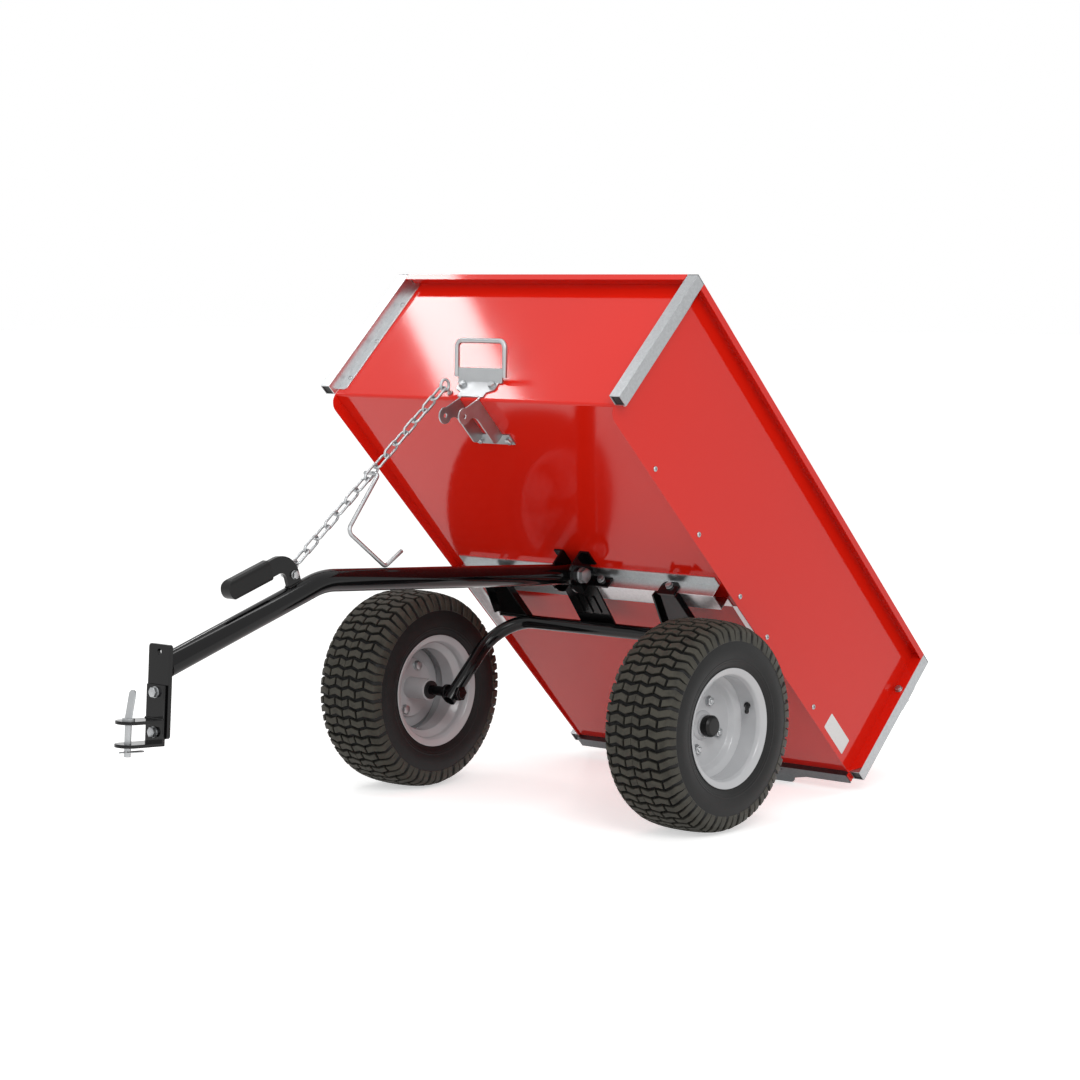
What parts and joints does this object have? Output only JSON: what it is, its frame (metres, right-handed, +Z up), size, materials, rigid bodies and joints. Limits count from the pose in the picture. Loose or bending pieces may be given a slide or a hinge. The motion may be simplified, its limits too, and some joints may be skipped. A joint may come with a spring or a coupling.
{
  "type": "tipping dump cart",
  "caption": "Tow-behind dump cart, shown tipped: red sheet tray with galvanised posts, sliding tailgate, turf tyres on an arched axle, bent drawbar with hitch, grip and chain.",
  "frame": {"origin": "on the ground under the middle of the tipped cart's length and width", "axes": "+X forward to the hitch, +Y to the cart's left, +Z up"},
  "size_m": [1.8752, 0.927, 1.0569],
  "materials": {
    "red_paint": "gloss powder coat",
    "galvanised": "galvanised sheet, fine spangle",
    "zinc": "zinc plated",
    "black_paint": "gloss powder coat",
    "rim_paint": "satin silver grey",
    "tyre_rubber": "matt",
    "soft_rubber": "matt",
    "black_plastic": "matt"
  },
  "bodies": {
    "tray": {"tray_pan": "red_paint", "side_wall_left": "red_paint", "side_wall_right": "red_paint", "skirt_screws": "zinc", "post_front_left": "galvanised", "post_front_right": "galvanised", "post_rear_left": "galvanised", "post_rear_right": "galvanised", "post_plugs": "black_plastic", "post_caps": "black_plastic", "post_rivets": "galvanised", "cross_member": "galvanised", "floor_rail_left": "galvanised", "floor_rail_right": "galvanised", "tail_beam": "galvanised", "gate_latch_bolts": "zinc", "latch_bracket": "zinc", "lift_handle": "zinc", "chain_eye": "zinc", "latch_bolts": "zinc", "axle_tube": "black_paint", "axle_bracket_left": "black_paint", "axle_bracket_right": "black_paint", "hinge_bracket": "black_paint", "bracket_bolts": "zinc", "spindle_left": "black_paint", "spindle_right": "black_paint", "pivot_bolt": "zinc", "chain": "zinc"},
    "gate": {"tailgate": "red_paint"},
    "latch_left": {"gate_latch_left": "galvanised"},
    "latch_right": {"gate_latch_right": "galvanised"},
    "wheel_left": {"tyre_left": "tyre_rubber", "rim_left": "rim_paint", "hub_left": "rim_paint", "bushes_left": "black_plastic", "wheel_bolts_left": "zinc", "valve_left": "soft_rubber", "hub_cap_left": "soft_rubber"},
    "wheel_right": {"tyre_right": "tyre_rubber", "rim_right": "rim_paint", "hub_right": "rim_paint", "bushes_right": "black_plastic", "wheel_bolts_right": "zinc", "valve_right": "soft_rubber", "hub_cap_right": "soft_rubber"},
    "drawbar": {"drawbar_tube": "black_paint", "pivot_sleeve": "black_paint", "hitch_plate": "black_paint", "clevis": "black_paint", "hitch_bolts": "zinc", "grip_bar": "black_paint", "grip_sleeve": "soft_rubber", "chain_bolt": "zinc"},
    "pin": {"hitch_pin": "zinc"},
    "clip": {"pin_clip": "zinc"},
    "lock": {"lock_pin": "zinc"}
  },
  "joints": [
    {"name": "drawbar_pivot", "type": "hinge", "parent": "tray", "child": "drawbar", "pos_m": [-0.24535, 0, 0.45919], "axis": [0, -1, 0], "range_deg": [0, 43.7], "deforming": ["chain"]},
    {"name": "wheel_left_spin", "type": "hinge", "parent": "tray", "child": "wheel_left", "pos_m": [-0.1744, 0.381, 0.203], "axis": [0, 1, 0], "continuous": true},
    {"name": "wheel_right_spin", "type": "hinge", "parent": "tray", "child": "wheel_right", "pos_m": [-0.1744, -0.381, 0.203], "axis": [0, 1, 0], "continuous": true},
    {"name": "tailgate_slide", "type": "slide", "parent": "tray", "child": "gate", "axis": [-0.7194, 0, 0.6946], "range_m": [0, 0.29]},
    {"name": "gate_latch_left_turn", "type": "hinge", "parent": "tray", "child": "latch_left", "pos_m": [-0.86706, 0.3775, 0.17874], "axis": [0.6946, 0, 0.7194], "range_deg": [0, 90]},
    {"name": "gate_latch_right_turn", "type": "hinge", "parent": "tray", "child": "latch_right", "pos_m": [-0.86706, -0.3775, 0.17874], "axis": [-0.6946, 0, -0.7194], "range_deg": [0, 90]},
    {"name": "hitch_pin_turn", "type": "hinge", "parent": "drawbar", "child": "pin", "pos_m": [0.91215, 0, 0.29144], "axis": [-0.0611, 0, 0.9981], "continuous": true},
    {"name": "pin_clip_pull", "type": "slide", "parent": "pin", "child": "clip", "axis": [-0.9981, 0, -0.0611], "range_m": [0, 0.026]},
    {"name": "lock_pin_swing", "type": "hinge", "parent": "drawbar", "child": "lock", "pos_m": [0.28204, -0.03761, 0.6869], "axis": [0, 1, 0], "range_deg": [0, 6]}
  ]
}
